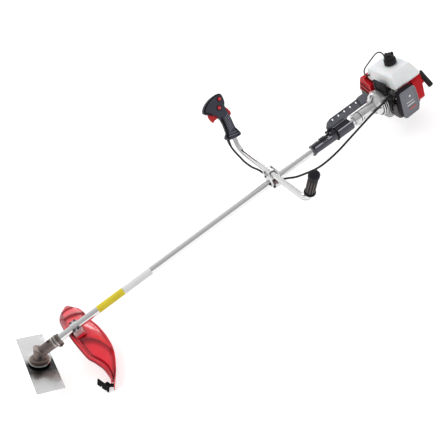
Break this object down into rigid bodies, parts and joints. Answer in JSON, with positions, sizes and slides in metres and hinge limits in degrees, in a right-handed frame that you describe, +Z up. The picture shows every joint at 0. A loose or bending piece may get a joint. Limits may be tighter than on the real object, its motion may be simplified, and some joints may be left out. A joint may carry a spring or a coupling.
{
  "type": "brush cutter",
  "caption": "Petrol brush cutter: flat rectangular blade under a moulded guard, straight shaft, bull-horn handlebar with throttle handle, hip pad and rear engine with top tank.",
  "frame": {"origin": "middle of the exposed end of the blade spindle, on its axis", "axes": "+X along the shaft towards the engine, +Y to the operator's right, +Z up and square to the shaft"},
  "size_m": [1.8876, 0.6841, 0.4234],
  "materials": {
    "guard_red": "glossy moulded",
    "cover_red": "glossy moulded",
    "control_red": "satin moulded",
    "handle_black": "fine textured",
    "hip_grey": "satin moulded",
    "filter_grey": "satin moulded",
    "engine_black": "fine textured",
    "black_rubber": "smooth",
    "grip_rubber": "ribbed",
    "tube_aluminium": "polished drawn",
    "bar_chrome": "bright",
    "cast_silver": "bead blasted casting",
    "cast_brown": "satin casting",
    "bright_steel": "ground",
    "dark_steel": "black oxide",
    "shoe_lining": "sintered",
    "reel_plastic": "moulded",
    "muffler_steel": "heat stained",
    "carb_metal": "die cast",
    "plug_ceramic": "glazed",
    "tank_white": "translucent blow moulded"
  },
  "bodies": {
    "machine": {"gear_case": "cast_brown", "head_screws": "dark_steel", "bearings": "bright_steel", "wrap_guard": "cast_brown", "drive_tube": "tube_aluminium", "shaft_bushes": "black_rubber", "guard_shell": "guard_red", "guard_bracket": "cast_silver", "guard_strap": "cast_silver", "guard_bolts": "dark_steel", "line_cutter": "engine_black", "bar_clamp_base": "cast_silver", "bar_clamp_body": "cast_silver", "bar_clamp_cap": "cast_silver", "bar_clamp_bolts": "dark_steel", "handlebar": "bar_chrome", "plain_grip": "grip_rubber", "throttle_case_left": "handle_black", "throttle_case_right": "handle_black", "throttle_screws": "dark_steel", "throttle_cable": "black_rubber", "hip_sleeve_upper": "hip_grey", "hip_sleeve_lower": "hip_grey", "harness_plate": "hip_grey", "clutch_housing": "cast_silver", "crankcase": "cast_silver", "engine_cylinder": "cast_silver", "spark_plug": "plug_ceramic", "plug_lead": "black_rubber", "carburettor": "carb_metal", "filter_case": "engine_black", "filter_cover": "filter_grey", "muffler": "muffler_steel", "muffler_cover": "cover_red", "starter_housing": "cover_red", "fuel_tank": "tank_white", "tank_bracket": "engine_black", "vent_hose": "black_rubber", "engine_stand": "engine_black"},
    "blade": {"spindle": "bright_steel", "bevel_gear": "bright_steel", "blade_holder": "bright_steel", "cutting_blade": "bright_steel", "clamp_washer": "bright_steel", "blade_nut": "dark_steel"},
    "drive": {"drive_shaft": "bright_steel", "bevel_pinion": "bright_steel", "clutch_drum": "bright_steel"},
    "crank": {"crankshaft": "bright_steel", "flywheel": "cast_silver", "clutch_shoes": "shoe_lining"},
    "trigger": {"throttle_trigger": "control_red"},
    "lockout": {"lockout_lever": "control_red"},
    "stop_switch": {"stop_button": "control_red"},
    "cruise_lock": {"cruise_button": "control_red"},
    "throttle": {"throttle_lever": "bright_steel"},
    "choke": {"choke_lever": "control_red"},
    "starter_pull": {"pull_handle": "black_rubber"},
    "starter_reel": {"starter_pulley": "reel_plastic"},
    "cap": {"fuel_cap": "engine_black"}
  },
  "joints": [
    {"name": "blade_spin", "type": "hinge", "parent": "machine", "child": "blade", "pos_m": [0, 0, 0], "axis": [0.5592, 0, 0.829], "continuous": true},
    {"name": "drive_spin", "type": "hinge", "parent": "machine", "child": "drive", "pos_m": [0.03556, 0, 0.05273], "axis": [1, 0, 0], "continuous": true},
    {"name": "crank_spin", "type": "hinge", "parent": "machine", "child": "crank", "pos_m": [1.68556, 0, 0.05273], "axis": [1, 0, 0], "continuous": true},
    {"name": "trigger_squeeze", "type": "hinge", "parent": "machine", "child": "trigger", "pos_m": [1.10656, 0.31984, 0.26486], "axis": [0.0915, -0.9135, 0.3963], "range_deg": [0, 18], "stiffness_Nm_per_rad": 0.2, "springref_deg": -11.46},
    {"name": "lockout_press", "type": "hinge", "parent": "machine", "child": "lockout", "pos_m": [1.14507, 0.31699, 0.2494], "axis": [-0.0915, 0.9135, -0.3963], "range_deg": [0, 6], "stiffness_Nm_per_rad": 0.2, "springref_deg": -5.73},
    {"name": "stop_press", "type": "slide", "parent": "machine", "child": "stop_switch", "axis": [-0.0915, 0.9135, -0.3963], "range_m": [0, 0.003], "stiffness_N_per_m": 300, "springref_m": -0.001},
    {"name": "cruise_press", "type": "slide", "parent": "machine", "child": "cruise_lock", "axis": [-0.0915, 0.9135, -0.3963], "range_m": [0, 0.003], "stiffness_N_per_m": 300, "springref_m": -0.001},
    {"name": "throttle_turn", "type": "hinge", "parent": "machine", "child": "throttle", "pos_m": [1.68956, -0.063, 0.05273], "axis": [0, 0, 1], "range_deg": [0, 60]},
    {"name": "choke_turn", "type": "hinge", "parent": "machine", "child": "choke", "pos_m": [1.69956, -0.07, 0.05273], "axis": [0, 0, 1], "range_deg": [0, 60]},
    {"name": "starter_pull_out", "type": "slide", "parent": "machine", "child": "starter_pull", "axis": [1, 0, 0], "range_m": [0, 0.7], "stiffness_N_per_m": 15, "springref_m": -0.2},
    {"name": "starter_reel_spin", "type": "hinge", "parent": "machine", "child": "starter_reel", "pos_m": [1.78557, 0, 0.05273], "axis": [1, 0, 0], "range_deg": [0, 1620]},
    {"name": "cap_turn", "type": "hinge", "parent": "machine", "child": "cap", "pos_m": [1.74157, 0, 0.17373], "axis": [0, 0, 1], "range_deg": [0, 120]}
  ],
  "couplings": [
    {"joint": "drive_spin", "follows": "blade_spin", "ratio": 1.25},
    {"joint": "throttle_turn", "follows": "trigger_squeeze", "ratio": 3.2},
    {"joint": "starter_reel_spin", "follows": "starter_pull_out", "rad_per_m": 40}
  ]
}
